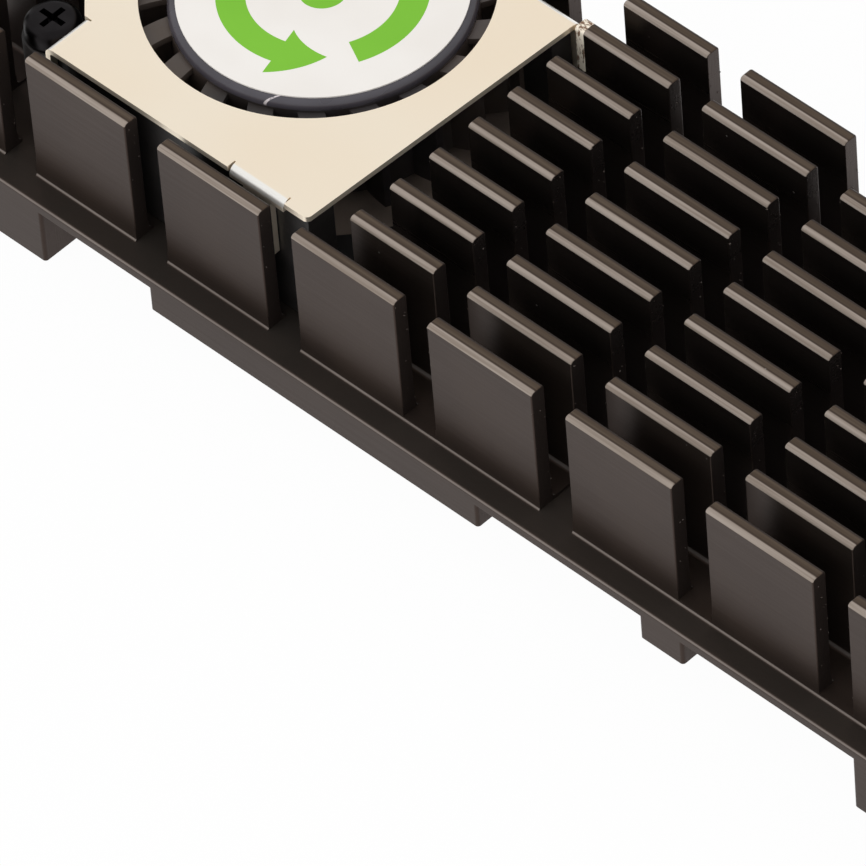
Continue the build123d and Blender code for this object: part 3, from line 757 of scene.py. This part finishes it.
def saw_burrs(fins):
    """Small curls of bare metal left by the saw at the fins' upper corners."""
    r = Rule("saw_burrs", Lowest=FIN_TOP - 0.6 * MM, Highest=FIN_TOP - 0.14 * MM,
             Furthest=-FIRST_X - 0.14 * MM, Density=9.0e5, Least=0.035 * MM, Most=0.08 * MM, Seed=7)
    x, y, z = r.parts(r.node("GeometryNodeInputPosition"))
    across = r.parts(r.node("GeometryNodeInputNormal"))[0]
    corner = (z > r.Lowest) * (z < r.Highest) * (abs(x) < r.Furthest) * (abs(across) > 0.3)
    spread = r.node("GeometryNodeDistributePointsOnFaces", None,
                    {"Mesh": r.shape, "Selection": corner, "Density": r.Density, "Seed": r.Seed})
    curl = r.node("GeometryNodeMeshIcoSphere", None, {"Radius": 1.0, "Subdivisions": 1})
    size = r.random(r.Least, r.Most, r.Seed)
    turn = r.node("FunctionNodeRandomValue", {"data_type": "FLOAT_VECTOR"},
                  {0: (0, 0, 0), 1: (tau, tau, tau), 8: r.Seed}, 0)
    curls = r.copies(spread, curl, Rotation=turn, Scale=r.vector(size * 1.6, size, size * 0.5))
    return r.grown("saw_burrs", curls, "black_anodised", fins)


def core_stack():
    """Thin stampings of one outline, stacked to the height of the core."""
    low, high = (corner.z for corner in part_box("stator_core"))
    work = welded("stator_core")
    top = high - WELD
    spare = [face for face in work.faces if face.normal.z < 0.9 or face.calc_center_median().z < top]
    bmesh.ops.delete(work, geom=spare, context="FACES")
    outline = mesh_of(work, "core_outline")
    r = Rule("core_stack", Sheets=CORE_SHEETS, Height=high - low, Gap=0.03 * MM)
    step = r.Height / r.Sheets
    lowered = r.moved(r.shape, move=r.vector(0, 0, -r.Height))
    upper = r.node("GeometryNodeExtrudeMesh", None,
                   {"Mesh": lowered, "Offset": (0, 0, 1), "Offset Scale": step - r.Gap,
                    "Individual": False})
    sheet = r.node("GeometryNodeMergeByDistance", None,
                   {"Geometry": r.joined(upper, lowered), "Distance": WELD})
    stack = r.copies(r.line(r.Sheets, (0, 0, 0), r.vector(0, 0, step)), sheet)
    return r.grown("core_stack", stack, "core_laminations", outline)


def winding(node, angle):
    """Turns of wire laid side by side round one arm of the core, over a block of the turns beneath."""
    low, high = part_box("stator_core")
    r = Rule(node + "_winding", Turns=COIL_TURNS, Wire=WIRE, Start=COIL_START, Arm=ARM_WIDTH,
             Height=ARM_HEIGHT, Thickness=COIL_THICKNESS, Middle=(low.z + high.z) / 2, Angle=angle)
    upright = (radians(90), 0, radians(90))
    thread = r.node("GeometryNodeCurvePrimitiveCircle", {"mode": "RADIUS"},
                    {"Resolution": 6, "Radius": r.Wire * 0.5})
    loop = r.rectangle(r.Arm + 2 * r.Thickness - r.Wire, r.Height + 2 * r.Thickness - r.Wire)
    turn = r.moved(r.swept(loop, COIL_CORNER, thread), turn=upright)
    line = r.line(r.Turns, r.vector(r.Start + r.Wire * 0.5, 0, r.Middle), r.vector(r.Wire, 0, 0))
    layers = r.rectangle(r.Thickness - r.Wire * 0.6, r.Wire * (r.Turns - 1))
    inner = r.rectangle(r.Arm + r.Thickness - r.Wire * 0.4, r.Height + r.Thickness - r.Wire * 0.4)
    beneath = r.moved(r.swept(inner, BLOCK_CORNER, layers), turn=upright)
    beneath = r.moved(beneath, move=r.vector(r.Start + r.Wire * r.Turns * 0.5, 0, r.Middle))
    coil = r.moved(r.joined(r.copies(line, turn), beneath), turn=r.vector(0, 0, r.Angle))
    return r.grown(node + "_winding", r.moved(coil, move=(AXIS.x, AXIS.y, 0)), "enamelled_wire")


def light_the_stage():
    """A pale floor, an even pale sky and two large soft lamps."""
    bpy.ops.mesh.primitive_plane_add(size=FLOOR_SIZE, location=(0, 0, FLOOR_LEVEL))
    floor = bpy.context.active_object
    floor.name = "floor"
    floor.data.materials.append(FLOOR)
    world = bpy.data.worlds.new("sky")
    bpy.context.scene.world = world
    world.use_nodes = True
    sky = world.node_tree.nodes["Background"]
    sky.inputs["Color"].default_value = (1, 1, 1, 1)
    sky.inputs["Strength"].default_value = SKY
    for name, place, size, power in LAMPS:
        lamp = bpy.data.objects.new(name, bpy.data.lights.new(name, "AREA"))
        lamp.data.shape = "RECTANGLE"
        lamp.data.size, lamp.data.size_y = size
        lamp.data.energy = power
        lamp.location = place
        lamp.visible_glossy = False
        lamp.rotation_mode = "QUATERNION"
        lamp.rotation_quaternion = (-Vector(place)).to_track_quat("-Z", "Y")
        bpy.context.scene.collection.objects.link(lamp)


# Nodes that are made anew, and the rounding of the others' corners in millimetres
MADE = {"heat_sink", "stator_core"} | {f"coil_{number + 1}" for number in range(COILS)}
ROUNDED = {"fan_frame": 0.1, "impeller": 0.05, "long_fan_screw": 0.06, "short_fan_screw": 0.06}
FLOOR = floor_paint()
FLOOR_SIZE = 6
FLOOR_LEVEL = -0.0002
SKY = 0.8

# Name, place, size and watts of each lamp, in metres
LAMPS = [
    ("front_lamp", (-0.3, -0.75, 0.5), (0.6, 0.35), 2.2),
    ("high_lamp", (0.1, 0.3, 0.9), (0.6, 0.6), 0.8),
]
fins = field_of_fins()
burrs = saw_burrs(fins.copy())
piece_of(sink_base(), "sink", "black_anodised", ["heat_sink"])
piece_of(fins, "sink", "black_anodised")
piece_of(burrs, "sink", "black_anodised")
piece_of(core_stack(), "sink", "core_laminations", ["stator_core"])
for number in range(COILS):
    coil = f"coil_{number + 1}"
    piece_of(winding(coil, tau * number / COILS), "sink", "enamelled_wire", [coil])
for name in SLOT_OF:
    if name not in MADE:
        dressed(name, ROUNDED.get(name, 0) * MM)
light_the_stage()
bpy.context.scene.view_settings.view_transform = "Standard"
